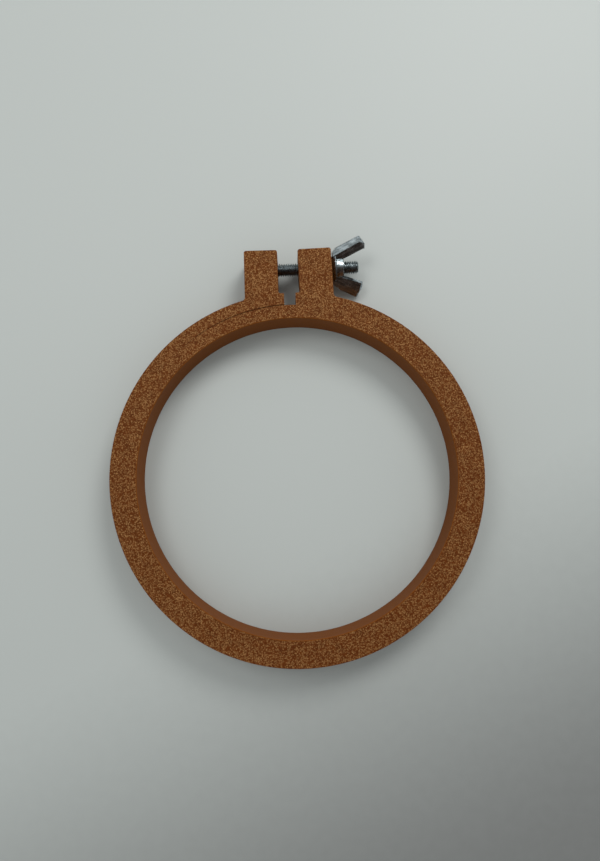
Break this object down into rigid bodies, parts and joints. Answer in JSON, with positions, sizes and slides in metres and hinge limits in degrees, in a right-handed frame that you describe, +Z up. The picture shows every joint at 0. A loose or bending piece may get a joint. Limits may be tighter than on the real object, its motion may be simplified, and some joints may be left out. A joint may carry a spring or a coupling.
{
  "type": "embroidery hoop",
  "caption": "Printed embroidery hoop: a plain inner ring gripped by a split outer ring, whose two lugs are drawn together by a screw and wing nut.",
  "frame": {"origin": "centre of the inner hoop's opening, at the underside", "axes": "+Z up out of the hoop's face, +Y from the centre towards the lugs, +X along the screw towards the wing nut"},
  "size_m": [0.1086, 0.126, 0.011],
  "materials": {
    "inner_print": "copper-brown printed plastic with glitter, rough on the bed side, fine layer lines on the walls",
    "outer_print": "copper-brown printed plastic with glitter, rough on the bed side, fine layer lines on the walls",
    "screw_zinc": "zinc-plated steel, rolled thread",
    "nut_zinc": "zinc-plated forged steel, worn bright along the edges"
  },
  "bodies": {
    "outer_hoop_right": {"outer_hoop_right": "outer_print"},
    "outer_hoop_left": {"outer_hoop_left": "outer_print"},
    "inner_hoop": {"inner_hoop": "inner_print"},
    "clamp_screw": {"clamp_screw": "screw_zinc"},
    "wing_nut": {"wing_nut": "nut_zinc"}
  },
  "joints": [
    {"name": "wing_nut_spin", "type": "hinge", "parent": "outer_hoop_right", "child": "wing_nut", "pos_m": [0.015, 0.06315, 0.0055], "axis": [1, 0, 0], "range_deg": [0, 2160]},
    {"name": "screw_slide", "type": "slide", "parent": "outer_hoop_right", "child": "clamp_screw", "axis": [-1, 0, 0], "range_m": [0, 0.0042]},
    {"name": "hoop_open", "type": "hinge", "parent": "outer_hoop_right", "child": "outer_hoop_left", "pos_m": [0, -0.0543, 0], "axis": [0, 0, 1], "range_deg": [0, 2.05]},
    {"name": "inner_hoop_lift", "type": "slide", "parent": "outer_hoop_right", "child": "inner_hoop", "axis": [0, 0, 1], "range_m": [0, 0.02]}
  ],
  "couplings": [
    {"joint": "wing_nut_spin", "follows": "hoop_open", "ratio": 1054.1},
    {"joint": "screw_slide", "follows": "hoop_open", "m_per_rad": 0.11744}
  ]
}
